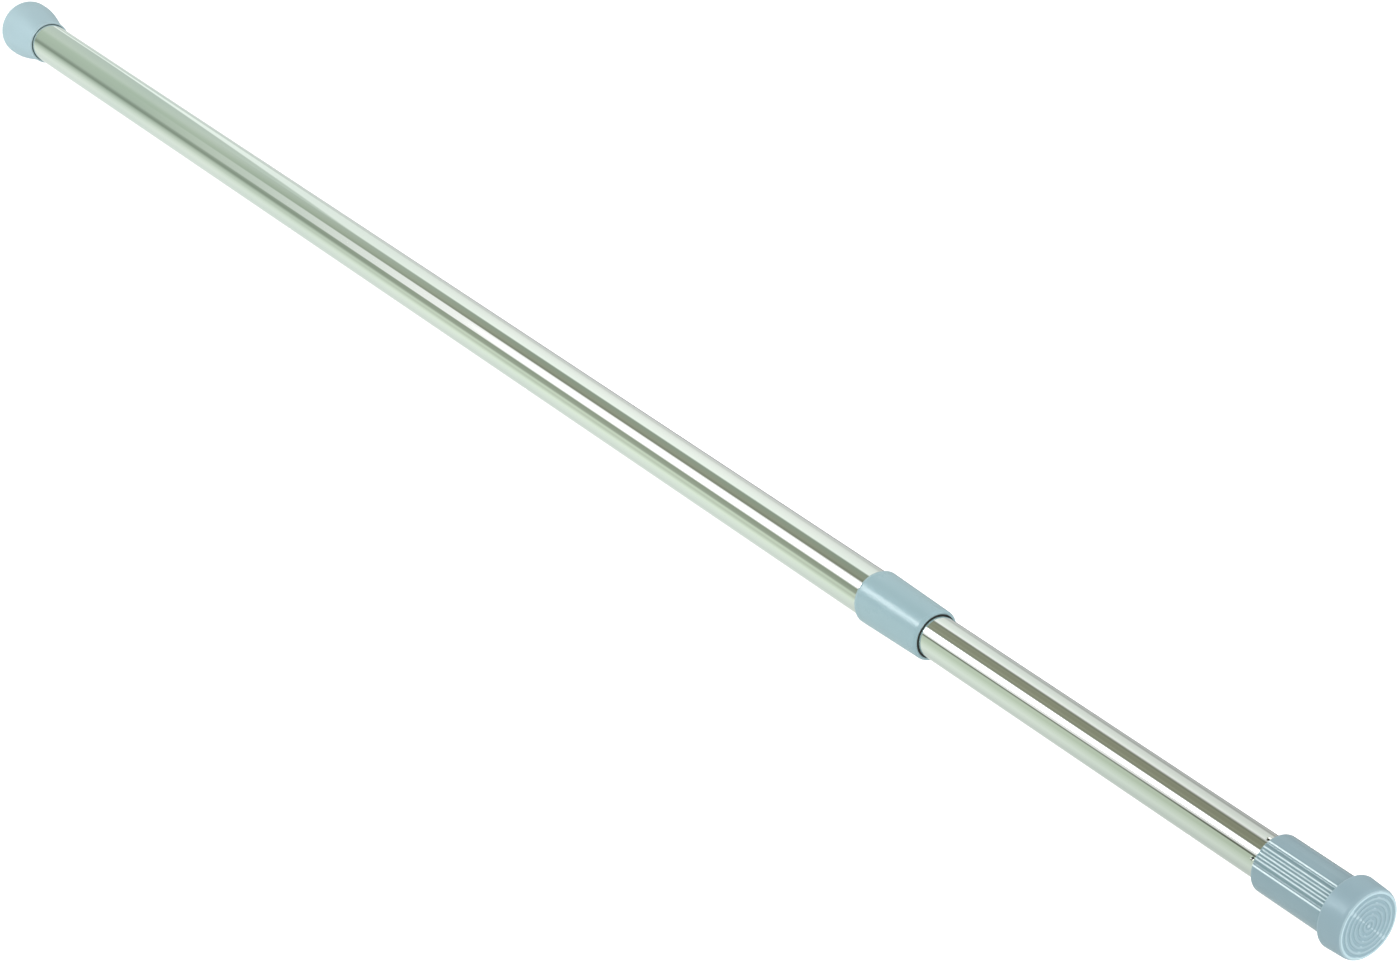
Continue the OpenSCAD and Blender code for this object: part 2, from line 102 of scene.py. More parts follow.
def streaked_noise(tree, scale, stretch, detail=3.0):
    """Noise on the piece's own coordinates, drawn out along the bar by the stretch."""
    place = tree.nodes.new("ShaderNodeTexCoord")
    drawn = add_node(tree, "ShaderNodeVectorMath",
                     {0: place.outputs["Object"], 1: (1 / stretch, 1, 1)}, operation="MULTIPLY")
    return add_node(tree, "ShaderNodeTexNoise",
                    {"Vector": drawn.outputs[0], "Scale": scale, "Detail": detail}).outputs["Fac"]


# Rubbing streaks and finger smudges, used by the plated and the moulded finishes alike
handling, values, results = new_group("handling_marks", {"Streak Scale": 900, "Smudge Scale": 35},
                                      ("Streaks", "Smudges"))
streaks = streaked_noise(handling, values.outputs["Streak Scale"], stretch=60)
handling.links.new(maths(handling, "POWER", streaks, 3), results.inputs["Streaks"])
smudges = streaked_noise(handling, values.outputs["Smudge Scale"], stretch=2.5)
handling.links.new(fade(handling, smudges, 0.42, 0.72), results.inputs["Smudges"])


def new_material(name, **constants):
    """A material whose shader has these constants on its own sockets."""
    material = bpy.data.materials.new(name)
    material.use_nodes = True
    shader = material.node_tree.nodes["Principled BSDF"]
    for label, value in constants.items():
        shader.inputs[label.replace("_", " ")].default_value = value
    return material, material.node_tree, shader


def use_marks(tree, streak_scale, smudge_scale):
    """The handling marks group placed in a material with its own values."""
    placed = add_node(tree, "ShaderNodeGroup", node_tree=handling)
    placed.inputs["Streak Scale"].default_value = streak_scale
    placed.inputs["Smudge Scale"].default_value = smudge_scale
    return placed


def plated(name, painted_pit_shade=None):
    """Bright chrome plate; the last argument, if given, is a function of the tree that gives a mask where a
    dark spot of shade is painted.
    """
    material, tree, shader = new_material(name, Metallic=1.0)
    marks = use_marks(tree, 900, 22)
    colour = tone(tree, (0.93, 0.95, 0.92), (0.88, 0.92, 0.89), marks.outputs["Smudges"])
    if painted_pit_shade:
        # Painted shade: a near-black spot where the mask says
        colour = tone(tree, colour, (0.04, 0.04, 0.04), painted_pit_shade(tree))
    tree.links.new(colour, shader.inputs["Base Color"])
    rough = maths(tree, "MULTIPLY_ADD", marks.outputs["Streaks"], 0.05, 0.02)
    rough = maths(tree, "MULTIPLY_ADD", marks.outputs["Smudges"], 0.02, rough)
    tree.links.new(rough, shader.inputs["Roughness"])
    ripple = add_node(tree, "ShaderNodeBump", {"Height": marks.outputs["Streaks"], "Distance": 0.01 * mm,
                                               "Strength": 0.25})
    tree.links.new(ripple.outputs["Normal"], shader.inputs["Normal"])
    return material


def dress(name, material):
    """Gives a node of the frame its finish."""
    mesh = cad[name].data
    mesh.materials.clear()
    mesh.materials.append(material)


dress("outer_tube", plated("bright_chrome"))

# ---- Fixed foot -------------------------------------------------------------------------------
# Soft rubber cup pushed over the end of the outer tube, moulded with a wide rounded rim, a flare
# that thins to a lip, and raised rings on its face. A zinc plated disc in it takes the tube's push.


def softened(corners, steps=7, margin=0.2 * mm):
    """Outline of (station, radius) points from corners of (station, radius, fillet)."""
    outline = []
    for before, corner, after in zip(corners[-1:] + corners[:-1], corners, corners[1:] + corners[:1]):
        here = Vector(corner[:2])
        back, on = Vector(before[:2]) - here, Vector(after[:2]) - here
        if not corner[2]:
            outline.append(here)
            continue
        room = (back.length, on.length)
        back, on = back.normalized(), on.normalized()
        half = back.angle(on) / 2
        reach = corner[2] / math.tan(half)
        centre = here + (back + on).normalized() * corner[2] / math.sin(half)
        start, end = here + back * reach - centre, here + on * reach - centre
        sweep = math.pi - 2 * half
        if room[0] > 2 * (reach + margin):
            outline.append(here + back * (reach + margin))
        for step in range(steps + 1):
            share = step / steps
            outline.append(centre + (start * math.sin((1 - share) * sweep) + end * math.sin(share * sweep))
                           / math.sin(sweep))
        if room[1] > 2 * (reach + margin):
            outline.append(here + on * (reach + margin))
    return outline


def facing_out(mesh, sharp=35):
    """Turns a closed mesh's faces outwards and shades it smooth between its sharp edges."""
    shape = bmesh.new()
    shape.from_mesh(mesh)
    bmesh.ops.recalc_face_normals(shape, faces=shape.faces)
    shape.to_mesh(mesh)
    shape.free()
    mesh.shade_smooth()
    mesh.set_sharp_from_angle(angle=math.radians(sharp))


def turned_piece(name, outline, turns, closed):
    """Piece made by turning an outline round the bar's axis at these turns from the top, in radians."""
    points, rings, faces = [], [], []
    for station, radius in outline:
        if radius < 1e-7:
            rings.append([len(points)] * len(turns))
            points.append((station, 0, 0))
        else:
            rings.append(range(len(points), len(points) + len(turns)))
            points.extend((station, -radius * math.sin(turn), radius * math.cos(turn)) for turn in turns)
    pairs = list(zip(rings, rings[1:])) + ([(rings[-1], rings[0])] if closed else [])
    for first, second in pairs:
        for i in range(len(turns)):
            j = (i + 1) % len(turns)
            corners = dict.fromkeys((first[i], first[j], second[j], second[i]))
            faces.append(tuple(corners))
    mesh = bpy.data.meshes.new(name)
    mesh.from_pydata(points, [], faces)
    facing_out(mesh)
    piece = bpy.data.objects.new(name, mesh)
    bpy.context.scene.collection.objects.link(piece)
    return piece


def even_turns(count):
    """Turns spaced evenly round the bar."""
    return [2 * math.pi * i / count for i in range(count)]


def new_shape_tree(name, sizes):
    """A geometry node tree that reshapes a piece, with these named sizes as its inputs."""
    tree = bpy.data.node_groups.new(name, "GeometryNodeTree")
    tree.interface.new_socket("Geometry", in_out="INPUT", socket_type="NodeSocketGeometry")
    for label in sizes:
        tree.interface.new_socket(label, in_out="INPUT", socket_type="NodeSocketFloat")
    tree.interface.new_socket("Finish", in_out="INPUT", socket_type="NodeSocketMaterial")
    tree.interface.new_socket("Geometry", in_out="OUTPUT", socket_type="NodeSocketGeometry")
    start = tree.nodes.new("NodeGroupInput")
    place = tree.nodes.new("GeometryNodeInputPosition").outputs["Position"]
    x, y, z = add_node(tree, "ShaderNodeSeparateXYZ", {0: place}).outputs
    radius = maths(tree, "SQRT", maths(tree, "MULTIPLY_ADD", y, y, maths(tree, "MULTIPLY", z, z)))
    return tree, start, x, y, z, radius


def end_shape_tree(tree, start, position, shares):
    """Ends a tree that moves points: kept shares, new places, instances made real, and the finish."""
    shape = start.outputs["Geometry"]
    for label, share in shares.items():
        shape = add_node(tree, "GeometryNodeStoreNamedAttribute",
                         {"Geometry": shape, "Name": label, "Value": share},
                         data_type="FLOAT", domain="POINT").outputs[0]
    moved = add_node(tree, "GeometryNodeSetPosition", {"Geometry": shape, "Position": position})
    real = add_node(tree, "GeometryNodeRealizeInstances", {"Geometry": moved.outputs[0]})
    dressed = add_node(tree, "GeometryNodeSetMaterial",
                       {"Geometry": real.outputs[0], "Material": start.outputs["Finish"]})
    add_node(tree, "NodeGroupOutput", {"Geometry": dressed.outputs[0]})


def reshape(piece, tree, **sizes):
    """Runs a tree on a piece with its sizes, and keeps the result as the piece's plain mesh."""
    modifier = piece.modifiers.new(tree.name, "NODES")
    modifier.node_group = tree
    for item in tree.interface.items_tree:
        if item.in_out == "INPUT" and item.name != "Geometry":
            modifier[item.identifier] = sizes[item.name.lower().replace(" ", "_")]
    graph = bpy.context.evaluated_depsgraph_get()
    mesh = bpy.data.meshes.new_from_object(piece.evaluated_get(graph), depsgraph=graph)
    piece.modifiers.remove(modifier)
    piece.data = mesh
    facing_out(mesh)


# Raised rings round a pip on a foot's face: what lies between them is sunk by their depth
ringed, sizes, x, y, z, radius = new_shape_tree("ringed_face", (
    "Station", "Side", "Count", "Pitch", "Top Width", "Pip Radius", "Depth", "Draft", "Outer Land"))
count, pitch, side, depth = (sizes.outputs[label] for label in ("Count", "Pitch", "Side", "Depth"))
nearest = maths(ringed, "MINIMUM", maths(ringed, "ROUND", maths(ringed, "DIVIDE", radius, pitch)), count)
half = maths(ringed, "MULTIPLY", sizes.outputs["Top Width"], 0.5)
on_pip = maths(ringed, "LESS_THAN", nearest, 0.5)
half = add_node(ringed, "ShaderNodeMix", {"Factor": on_pip, "A": half, "B": sizes.outputs["Pip Radius"]},
                data_type="FLOAT").outputs["Result"]
across = maths(ringed, "SUBTRACT", radius, maths(ringed, "MULTIPLY", nearest, pitch))
beyond = maths(ringed, "GREATER_THAN", radius, maths(ringed, "MULTIPLY", count, pitch))
on_land = maths(ringed, "MULTIPLY", beyond, sizes.outputs["Outer Land"])
across = maths(ringed, "MULTIPLY", maths(ringed, "ABSOLUTE", across), maths(ringed, "SUBTRACT", 1, on_land))
foot_of_side = maths(ringed, "ADD", half, sizes.outputs["Draft"])
drop = fade(ringed, across, half, foot_of_side, smooth=True)
off_face = maths(ringed, "ABSOLUTE", maths(ringed, "SUBTRACT", x, sizes.outputs["Station"]))
on_face = maths(ringed, "LESS_THAN", off_face, 0.01 * mm)
# The crests are painted pale as a highlight, the outermost ring most of all
crest_highlight_share = maths(ringed, "POWER", maths(ringed, "DIVIDE", nearest, count), 6)
crest_highlight_share = maths(ringed, "MULTIPLY_ADD", crest_highlight_share, 0.9, 0.1)
painted_crest_highlight = maths(ringed, "MULTIPLY", maths(ringed, "SUBTRACT", 1, drop), on_face)
painted_crest_highlight = maths(ringed, "MULTIPLY", painted_crest_highlight, crest_highlight_share)
shift = maths(ringed, "MULTIPLY", maths(ringed, "MULTIPLY", drop, depth), side)
shift = maths(ringed, "MULTIPLY", shift, on_face)
sunk = add_node(ringed, "ShaderNodeCombineXYZ", {0: maths(ringed, "SUBTRACT", x, shift), 1: y, 2: z})
end_shape_tree(ringed, sizes, sunk.outputs[0], {"painted_crest_highlight": painted_crest_highlight})

# Skin of the plastic and rubber pieces: a fine grain, and a slow change of tone through the moulding
skin, values, results = new_group("moulded_skin", {"Grain Scale": 2500, "Flow Scale": 30},
                                  ("Grain", "Flow"))
grain = streaked_noise(skin, values.outputs["Grain Scale"], stretch=1, detail=2.0)
skin.links.new(grain, results.inputs["Grain"])
flow = streaked_noise(skin, values.outputs["Flow Scale"], stretch=2, detail=2.0)
skin.links.new(flow, results.inputs["Flow"])

# Paler edges: the ridges and corners that hands and tubes touch are painted a little paler, partly as wear
# and partly as a painted highlight
edge_wear_and_highlight, values, results = new_group("rubbed_edges", {"Reach": 0.1}, ("Mask",))
bulge = maths(edge_wear_and_highlight, "SUBTRACT", edge_wear_and_highlight.nodes.new("ShaderNodeNewGeometry").outputs["Pointiness"], 0.5)
bulge = maths(edge_wear_and_highlight, "DIVIDE", maths(edge_wear_and_highlight, "MAXIMUM", bulge, 0), values.outputs["Reach"])
edge_wear_and_highlight.links.new(maths(edge_wear_and_highlight, "MINIMUM", bulge, 1), results.inputs["Mask"])


def moulded(name, colour, deep, edge_wear_highlight, roughness, grain_depth, ior=1.5, marked=()):
    """Finish of a moulded piece: colour that flows to a deeper tone, paler edges as wear and painted
    highlight, and a fine grain.

    Marked gives (share, colour) for shares kept on the piece, such as painted highlights on the crests of
    its ridges.
    """
    material, tree, shader = new_material(name, IOR=ior)
    surface = add_node(tree, "ShaderNodeGroup", node_tree=skin)
    worn_and_lit_edges = add_node(tree, "ShaderNodeGroup", node_tree=edge_wear_and_highlight)
    marks = use_marks(tree, 700, 60)
    body = tone(tree, colour, deep, surface.outputs["Flow"])
    # Paler edges: wear, and a painted highlight
    body = tone(tree, body, edge_wear_highlight, worn_and_lit_edges.outputs["Mask"])
    for share, shade in marked:
        kept = add_node(tree, "ShaderNodeAttribute", attribute_type="GEOMETRY", attribute_name=share)
        body = tone(tree, body, shade, kept.outputs["Fac"])
    tree.links.new(body, shader.inputs["Base Color"])
    worn = maths(tree, "MULTIPLY_ADD", marks.outputs["Smudges"], -0.05, roughness)
    worn = maths(tree, "MULTIPLY_ADD", surface.outputs["Grain"], 0.06, worn)
    tree.links.new(worn, shader.inputs["Roughness"])
    bump = add_node(tree, "ShaderNodeBump", {"Height": surface.outputs["Grain"], "Distance": grain_depth,
                                             "Strength": 0.5})
    tree.links.new(bump.outputs["Normal"], shader.inputs["Normal"])
    return material


cup_rubber = moulded("cup_rubber", (0.385, 0.535, 0.575), (0.35, 0.49, 0.54), (0.50, 0.65, 0.68), 0.58,
                     grain_depth=0.04 * mm)

cup_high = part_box("fixed_foot_cup")[1]
rim_r, cup_l = cup_high.z, cup_high.x
tube_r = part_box("outer_tube")[1].z
edge_r, rim_l, lip_wall, lip_round, cup_floor = 4.6 * mm, 8 * mm, 1.5 * mm, 0.9 * mm, 4 * mm
lip_r = tube_r + lip_wall
lip_relief, relief_l = 0.3 * mm, 2.5 * mm
ring_pitch, ring_top, pip_r = 2.65 * mm, 0.6 * mm, 0.8 * mm
ring_depth, ring_draft = 0.45 * mm, 0.5 * mm
cup_rings = 4


def ring_rows(station, count, face_r):
    """Points of a face's outline, close together where the side of a ring slopes."""
    rows = {0.0, face_r}
    for ring in range(count + 1):
        half = ring_top / 2 if ring else pip_r
        for share in (-1, 0, 0.15, 0.3, 0.5, 0.7, 0.85, 1, 1.5):
            rows.update(ring * ring_pitch + way * (half + share * ring_draft) for way in (-1, 1))
    return [Vector((station, row)) for row in sorted(rows) if 0 <= row <= face_r]


flat_r = rim_r - edge_r
outline = ring_rows(0, cup_rings, flat_r)
outline += [Vector((edge_r - edge_r * math.cos(a), flat_r + edge_r * math.sin(a)))
            for a in (math.radians(5 * i) for i in range(1, 19))]
flare_x1, flare_steps = cup_l - lip_round, 40
middle_r, swing = (rim_r + lip_r) / 2, (rim_r - lip_r) / 2
outline += [Vector((rim_l + (flare_x1 - rim_l) * share, middle_r + swing * math.cos(math.pi * share)))
            for share in (i / flare_steps for i in range(flare_steps + 1))]
outline += [Vector((flare_x1 + lip_round * math.sin(a), lip_r - lip_round + lip_round * math.cos(a)))
            for a in (math.radians(15 * i) for i in range(1, 7))]
relief_r, relief_round = tube_r + lip_relief, 0.1 * mm
outline += [Vector(point) for point in (
    (cup_l, relief_r + relief_round), (cup_l - relief_round, relief_r), (cup_l - relief_l, relief_r),
    (cup_l - relief_l, tube_r), (cup_floor, tube_r), (cup_floor, 0))]
cup = turned_piece("fixed_foot_rubber_cup", outline, even_turns(128), closed=False)
reshape(cup, ringed, station=0.0, side=-1.0, count=float(cup_rings), pitch=ring_pitch,
        top_width=ring_top, pip_radius=pip_r, depth=ring_depth, draft=ring_draft, outer_land=1.0,
        finish=cup_rubber)
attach(cup, "outer_tube")
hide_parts("fixed_foot_cup")

# Zinc plate: dull silver, with fine turning lines round the piece
zinc, tree, shader = new_material("zinc_plate", Metallic=1.0)
marks = use_marks(tree, 1500, 120)
tree.links.new(tone(tree, (0.60, 0.61, 0.63), (0.50, 0.52, 0.56), marks.outputs["Smudges"]),
               shader.inputs["Base Color"])
rough = maths(tree, "MULTIPLY_ADD", marks.outputs["Smudges"], 0.15, 0.28)
tree.links.new(rough, shader.inputs["Roughness"])
place = add_node(tree, "ShaderNodeSeparateXYZ", {0: tree.nodes.new("ShaderNodeTexCoord").outputs["Object"]})
line_pitch = 0.12 * mm
lines = maths(tree, "SINE", maths(tree, "MULTIPLY", place.outputs["X"], 2 * math.pi / line_pitch))
turning = add_node(tree, "ShaderNodeBump", {"Height": lines, "Distance": 0.004 * mm, "Strength": 0.4})
tree.links.new(turning.outputs["Normal"], shader.inputs["Normal"])
dress("fixed_foot_disc", zinc)

# ---- Guide bush and collar --------------------------------------------------------------------
# A slit black nylon ring on the mouth of the outer tube centres the inner tube, and a satin
# blue-grey plastic collar is pressed over both. The bush's thin nose shows in the collar's mouth.

black_nylon = moulded("black_nylon", (0.014, 0.015, 0.017), (0.020, 0.021, 0.023), (0.03, 0.03, 0.03), 0.5,
                      grain_depth=0.03 * mm)
dress("guide_bush", black_nylon)

collar_plastic = moulded("collar_plastic", (0.325, 0.475, 0.515), (0.30, 0.45, 0.49), (0.44, 0.60, 0.64),
                         0.27, grain_depth=0.02 * mm, ior=1.55)
collar_low, collar_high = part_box("guide_collar")
start_r, mouth_r, mouth_bore_r = tube_r + 0.5 * mm, 13.5 * mm, 11.8 * mm
collar_chamfer, mouth_chamfer, mouth_lip = 2.2 * mm, 1.6 * mm, 3 * mm
bush_x1 = collar_high.x - mouth_lip
collar = turned_piece("guide_collar_shell", softened([
    (collar_low.x, tube_r, 0.1 * mm), (collar_low.x, start_r, 0.15 * mm),
    (collar_low.x + collar_chamfer, collar_high.z, 0.6 * mm),
    (collar_high.x - mouth_chamfer, mouth_r, 0.6 * mm),
    (collar_high.x, mouth_r - mouth_chamfer / 2, 0.3 * mm),
    (collar_high.x, mouth_bore_r, 0.2 * mm), (bush_x1, mouth_bore_r, 0), (bush_x1, tube_r, 0)]),
    even_turns(128), closed=True)
collar.data.materials.append(collar_plastic)
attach(collar, "outer_tube")
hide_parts("guide_collar")

# ---- Twist lock -------------------------------------------------------------------------------
# Inside the outer tube: a split white nylon sleeve is spread by a zinc plated wedge, which the stud
# in the inner tube's plug draws in as the inner tube is twisted. A nut keeps the wedge on the stud.

white_nylon = moulded("white_nylon", (0.78, 0.77, 0.70), (0.72, 0.71, 0.64), (0.84, 0.83, 0.78), 0.45,
                      grain_depth=0.03 * mm)
dress("lock_sleeve", white_nylon)
for name in ("lock_wedge", "lock_stud", "lock_stop_nut", "lock_washer", "lock_plug"):
    dress(name, zinc)

# ---- Inner tube -------------------------------------------------------------------------------
# Chromed steel tube, 22.2 mm across, that slides in the outer tube. Six punched dimples hold the
# adjuster nut in its end, and a scored line shows how far it may be drawn out.

dimple_x, dimple_turn, dimple_count = 1230.8 * mm, math.radians(7), 6
inner_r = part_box("inner_tube")[1].z


def dimple_shade_mask(tree):
    """Mask of the bottoms of the punched dimples, where a dark spot of shade is painted."""
    place = tree.nodes.new("ShaderNodeTexCoord").outputs["Object"]
    x, y, z = add_node(tree, "ShaderNodeSeparateXYZ", {0: place}).outputs
    turn = maths(tree, "SUBTRACT", maths(tree, "ARCTAN2", maths(tree, "MULTIPLY", y, -1), z), dimple_turn)
    turn = maths(tree, "WRAP", turn, math.pi / dimple_count, -math.pi / dimple_count)
    aside = maths(tree, "MULTIPLY", turn, inner_r)
    along = maths(tree, "SUBTRACT", x, dimple_x)
    away = maths(tree, "MULTIPLY_ADD", aside, aside, maths(tree, "MULTIPLY", along, along))
    away = maths(tree, "SQRT", away)
    return fade(tree, away, 0.8 * mm, 0.6 * mm)


dress("inner_tube", plated("punched_chrome", dimple_shade_mask))

# ---- Adjuster ---------------------------------------------------------------------------------
# Zinc plated nut staked in the inner tube, and the spindle that the grip turns in it, with a pinned
# collar that stops it at the end of its travel. A countersunk screw holds the grip on the spindle.

for name in ("adjuster_nut", "spindle", "spindle_stop_collar", "spindle_stop_pin", "spindle_screw"):
    dress(name, zinc)

# ---- Grip -------------------------------------------------------------------------------------
# Satin blue-grey plastic sleeve over the end of the inner tube, with a rounded rim. Two panels of
# four round flutes, on opposite sides, run from the rim to the foot. Their crests are painted pale as
# highlights.

# Painted light on the grip: flute bottoms darker as grime and painted shade, a painted glint line on the
# floors of the two inner flutes, and painted highlights on the crests
grip_plastic = moulded("grip_plastic", (0.26, 0.375, 0.415), (0.235, 0.345, 0.39), (0.43, 0.56, 0.60), 0.12,
                       grain_depth=0.01 * mm, ior=1.55,
                       marked=(("valley", (0.20, 0.31, 0.34)), ("painted_flute_glint", (0.50, 0.64, 0.67)),
                               ("painted_ridge_highlight", (0.76, 0.92, 0.95))))
grip_low, grip_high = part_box("grip_sleeve")
foot_low, foot_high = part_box("foot_cap")
head_x1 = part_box("spindle")[1].x
grip_r, grip_x0, flange_x1 = grip_high.z, grip_low.x, grip_high.x
grip_x1 = foot_low.x - 0.1 * mm
neck_r, flange_r, flange_x0, screw_r = 11.5 * mm, 13.5 * mm, flange_x1 - 2.5 * mm, 3.1 * mm
bore_r = inner_r + 0.05 * mm
rim_round, flute_count, flute_pitch, panel_turn = 1.9 * mm, 4, math.radians(13), math.radians(46)
flute_r, flute_depth = 1.8 * mm, 0.7 * mm

# Turns from the top: close together in the fluted panels, wide between them
half_panel = flute_pitch * (flute_count / 2 + 0.25)
gap, panel_steps, gap_steps = math.pi - 2 * half_panel, 280, 44
turns = []
for centre in (panel_turn, panel_turn + math.pi):
    turns += [centre - half_panel + 2 * half_panel * i / panel_steps for i in range(panel_steps + 1)]
    turns += [centre + half_panel + gap * i / gap_steps for i in range(1, gap_steps)]

barrel = softened([
    (grip_x0, bore_r, 0.3 * mm), (grip_x0, grip_r, rim_round), (grip_x1, grip_r, 0.1 * mm),
    (grip_x1, neck_r, 0.1 * mm), (flange_x0, neck_r, 0.1 * mm), (flange_x0, flange_r, 0.2 * mm),
    (flange_x1, flange_r, 0.2 * mm), (flange_x1, 2 * screw_r, 0), (flange_x1 - screw_r, screw_r, 0),
    (head_x1, screw_r, 0), (head_x1, bore_r, 0)], steps=12)
grip = turned_piece("fluted_grip", barrel, turns, closed=True)

fluted, sizes, x, y, z, radius = new_shape_tree("fluted_panels", (
    "Barrel Radius", "Panel Turn", "Count", "Pitch", "Section", "Depth", "Barrel End", "Blend"))
section, depth, pitch = (sizes.outputs[label] for label in ("Section", "Depth", "Pitch"))
turn = maths(fluted, "ARCTAN2", maths(fluted, "MULTIPLY", y, -1), z)
turn = maths(fluted, "SUBTRACT", turn, sizes.outputs["Panel Turn"])
turn = maths(fluted, "WRAP", turn, math.pi / 2, -math.pi / 2)
middle = maths(fluted, "MULTIPLY", maths(fluted, "SUBTRACT", sizes.outputs["Count"], 1), 0.5)
last = maths(fluted, "ADD", middle, middle)
nearest = maths(fluted, "ROUND", maths(fluted, "ADD", maths(fluted, "DIVIDE", turn, pitch), middle))
nearest = maths(fluted, "MAXIMUM", maths(fluted, "MINIMUM", nearest, last), 0)
off = maths(fluted, "MULTIPLY", maths(fluted, "SUBTRACT", nearest, middle), pitch)
off = maths(fluted, "ABSOLUTE", maths(fluted, "SUBTRACT", turn, off))
off = maths(fluted, "MINIMUM", off, maths(fluted, "MULTIPLY", pitch, 0.5))
cutter = maths(fluted, "ADD", sizes.outputs["Barrel Radius"], maths(fluted, "SUBTRACT", section, depth))
past_end = maths(fluted, "MAXIMUM", maths(fluted, "SUBTRACT", x, sizes.outputs["Barrel End"]), 0)
aside = maths(fluted, "MULTIPLY", cutter, maths(fluted, "SINE", off))
reach = maths(fluted, "MULTIPLY_ADD", past_end, past_end, maths(fluted, "MULTIPLY", aside, aside))
chord = maths(fluted, "SUBTRACT", maths(fluted, "MULTIPLY", section, section), reach)
chord = maths(fluted, "SQRT", maths(fluted, "MAXIMUM", chord, 0))
floor_r = maths(fluted, "SUBTRACT", maths(fluted, "MULTIPLY", cutter, maths(fluted, "COSINE", off)), chord)
share = maths(fluted, "SMOOTH_MIN", radius, floor_r, sizes.outputs["Blend"])
share = maths(fluted, "DIVIDE", share, radius)
carved = add_node(fluted, "ShaderNodeCombineXYZ", {0: x, 1: maths(fluted, "MULTIPLY", y, share),
                                                   2: maths(fluted, "MULTIPLY", z, share)})
# Shares kept for the finish: how deep in a flute, which paints the flutes darker as grime and shade,
# a painted glint line on the floors of the two inner flutes, and how near a crest, for a painted highlight
# strongest at a panel's two sides
valley = maths(fluted, "MULTIPLY", radius, maths(fluted, "SUBTRACT", 1, share))
valley = maths(fluted, "DIVIDE", valley, depth)
floor_limit = maths(fluted, "SUBTRACT", sizes.outputs["Barrel Radius"], depth)
on_barrel = maths(fluted, "GREATER_THAN", radius, floor_limit)
half_pitch = maths(fluted, "MULTIPLY", pitch, 0.5)
from_crest = maths(fluted, "WRAP", turn, half_pitch, maths(fluted, "MULTIPLY", half_pitch, -1))
painted_crest_highlight = fade(fluted, maths(fluted, "ABSOLUTE", from_crest), math.radians(0.9), math.radians(2.0), 1, 0)
out = maths(fluted, "DIVIDE", maths(fluted, "ABSOLUTE", turn), pitch)
weight = maths(fluted, "MULTIPLY", painted_crest_highlight, fade(fluted, out, 1.4, 1.6, 0.75, 1))
weight = maths(fluted, "MULTIPLY", weight, maths(fluted, "LESS_THAN", out, 2.5))
painted_ridge_highlight = maths(fluted, "MULTIPLY", weight, on_barrel)
painted_flute_glint = maths(fluted, "MULTIPLY", fade(fluted, valley, 0.93, 0.98), maths(fluted, "LESS_THAN", out, 1))
end_shape_tree(fluted, sizes, carved.outputs[0], {"valley": valley, "painted_flute_glint": painted_flute_glint, "painted_ridge_highlight": painted_ridge_highlight})
reshape(grip, fluted, barrel_radius=grip_r, panel_turn=panel_turn, count=float(flute_count),
        pitch=flute_pitch, section=flute_r, depth=flute_depth, barrel_end=grip_x1 + 0.1 * mm,
        blend=0.6 * mm, finish=grip_plastic)
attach(grip, "grip")
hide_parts("grip_sleeve")

# ---- Swivel foot ------------------------------------------------------------------------------
# Soft blue-grey rubber cap snapped over the grip's flange, so that it turns freely, with a crowned
# edge and raised rings on its face. In it a nylon washer and a zinc plated disc carry the push.

dress("thrust_washer", white_nylon)
dress("foot_disc", zinc)

# The crest colour is a painted highlight on the rings of the face
foot_rubber = moulded("foot_rubber", (0.275, 0.40, 0.45), (0.255, 0.375, 0.43), (0.42, 0.55, 0.60), 0.38,
                      grain_depth=0.04 * mm, marked=(("painted_crest_highlight", (0.46, 0.62, 0.67)),))
disc_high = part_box("foot_disc")[1]
foot_x0, foot_x1, foot_r = foot_low.x, foot_high.x, foot_high.z
lip_x1, hollow_r, lip_bore_r = foot_x0 + 2.8 * mm, disc_high.z + 0.1 * mm, neck_r + 0.05 * mm
crown_r, crown_l, foot_rim_r, back_round = 4 * mm, 2.3 * mm, foot_r - 0.6 * mm, 1 * mm
floor_x, foot_rings = foot_x1 - ring_depth, 6
crown_x0, crown_turn = floor_x - crown_l, math.asin(crown_l / crown_r)
crown = [(crown_x0 + crown_r * math.sin(a), foot_rim_r - crown_r * (1 - math.cos(a)))
         for a in (crown_turn * (1 - i / 12) for i in range(13))]
outer_ring_r = foot_rings * ring_pitch + ring_top / 2 + ring_draft
corners = softened([
    (floor_x, outer_ring_r + 0.05 * mm, 0), *((*point, 0) for point in crown),
    (foot_x0, foot_r, back_round), (foot_x0, lip_bore_r, 0.3 * mm), (lip_x1, lip_bore_r, 0.2 * mm),
    (lip_x1, hollow_r, 0), (disc_high.x, hollow_r, 0), (disc_high.x, 0, 0)])
foot = turned_piece("swivel_foot_rubber", ring_rows(foot_x1, foot_rings, outer_ring_r) + corners,
                    even_turns(128), closed=False)
reshape(foot, ringed, station=foot_x1, side=1.0, count=float(foot_rings), pitch=ring_pitch,
        top_width=ring_top, pip_radius=pip_r, depth=ring_depth, draft=ring_draft, outer_land=0.0,
        finish=foot_rubber)
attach(foot, "foot")
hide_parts("foot_cap")

# ---- Studio -----------------------------------------------------------------------------------
# White floor well below the bar and a white surround. Shiny parts mirror long pale and dark strips
# that stand parallel to the bar, and one bright strip, as in a tent with strip lamps.

